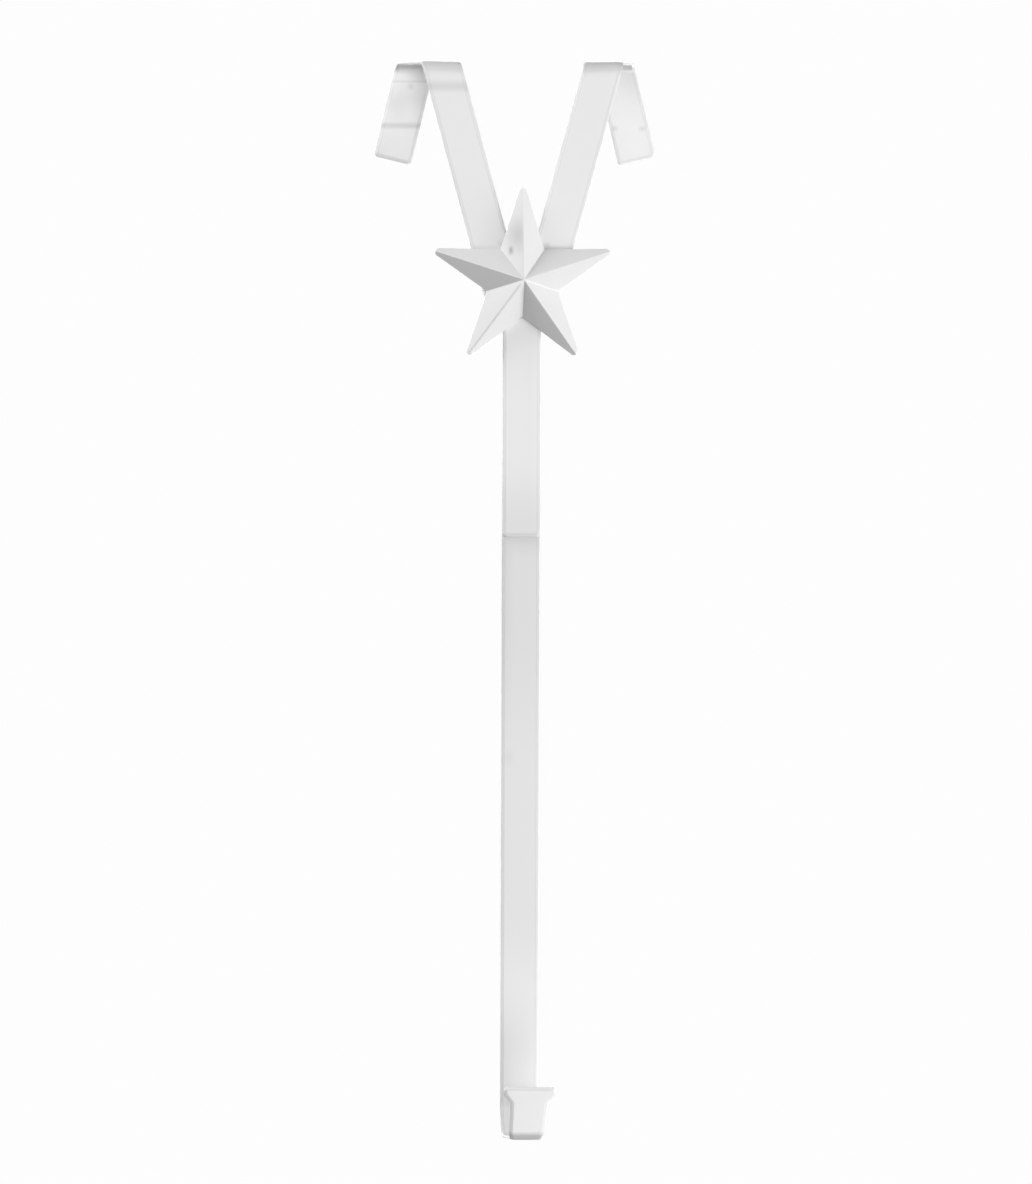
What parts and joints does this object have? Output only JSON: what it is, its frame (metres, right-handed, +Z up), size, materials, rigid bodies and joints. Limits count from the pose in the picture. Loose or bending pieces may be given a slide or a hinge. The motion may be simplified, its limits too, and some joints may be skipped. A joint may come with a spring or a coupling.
{
  "type": "wreath hanger",
  "caption": "Over-door wreath hanger of folded steel strap: hooks over the door's top edge, sloping arms, a raised star, and a long strap with an upturned wreath hook.",
  "frame": {"origin": "the door's top front edge, midway between the hooks: the undersides of the top plates are at Z = 0 and the back of the lower strap is at Y = 0", "axes": "+Z up, the front faces -Y, the door lies towards +Y, +X to the right as seen from the front"},
  "size_m": [0.166, 0.1089, 0.6336],
  "materials": {
    "white_paint": "gloss white enamel"
  },
  "bodies": {
    "root": {"door_hooks": "white_paint", "hook_strap": "white_paint", "star": "white_paint"}
  },
  "joints": []
}
